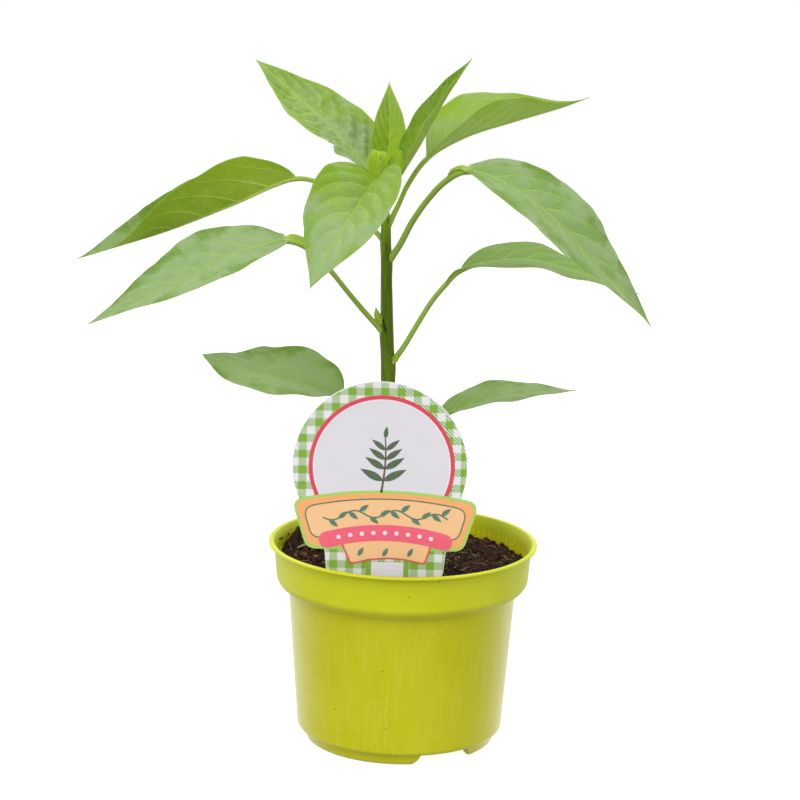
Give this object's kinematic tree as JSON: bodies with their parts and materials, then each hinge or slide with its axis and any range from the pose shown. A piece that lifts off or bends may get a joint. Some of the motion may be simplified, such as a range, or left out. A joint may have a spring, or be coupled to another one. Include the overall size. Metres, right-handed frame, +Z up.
{
  "type": "potted chilli pepper plant",
  "caption": "Young chilli pepper plant with long drooping leaves on one upright stem, in a stepped round nursery pot of soil with a plain card label.",
  "frame": {"origin": "on the ground under the middle of the whole plant's bounding box; the pot's axis stands at x = +22 mm, y = -2 mm", "axes": "+Z up along the pot's axis; -Y is the front, where the label faces; +X to the right of the label as seen"},
  "size_m": [0.2522, 0.1605, 0.307],
  "materials": {
    "pot_plastic": "satin yellow-green injection-moulded plastic, faint upright flow lines",
    "peat_soil": "dark brown fibrous peat with fine pale fibres and bits",
    "stem_green": "smooth green stem, dark streaks at the joints",
    "leaf_green": "soft leaf with pale veins, waxy sheen above, matt and paler below",
    "leaf_young": "thin yellow-green young leaf that lets light through, blistered between the veins",
    "label_card": "printed plastic card, semi-gloss"
  },
  "bodies": {
    "root": {"pot": "pot_plastic", "soil": "peat_soil", "stem": "stem_green", "leaf_left_upper": "leaf_green", "leaf_left_middle": "leaf_green", "leaf_left_lower": "leaf_green", "leaf_right_upper": "leaf_green", "leaf_right_front": "leaf_green", "leaf_right_middle": "leaf_green", "leaf_right_lower": "leaf_green", "leaf_front": "leaf_green", "leaf_back": "leaf_green", "leaf_top_left": "leaf_young", "leaf_top_centre": "leaf_young", "leaf_top_right": "leaf_young", "seed_leaf": "leaf_young", "label": "label_card"}
  },
  "joints": []
}
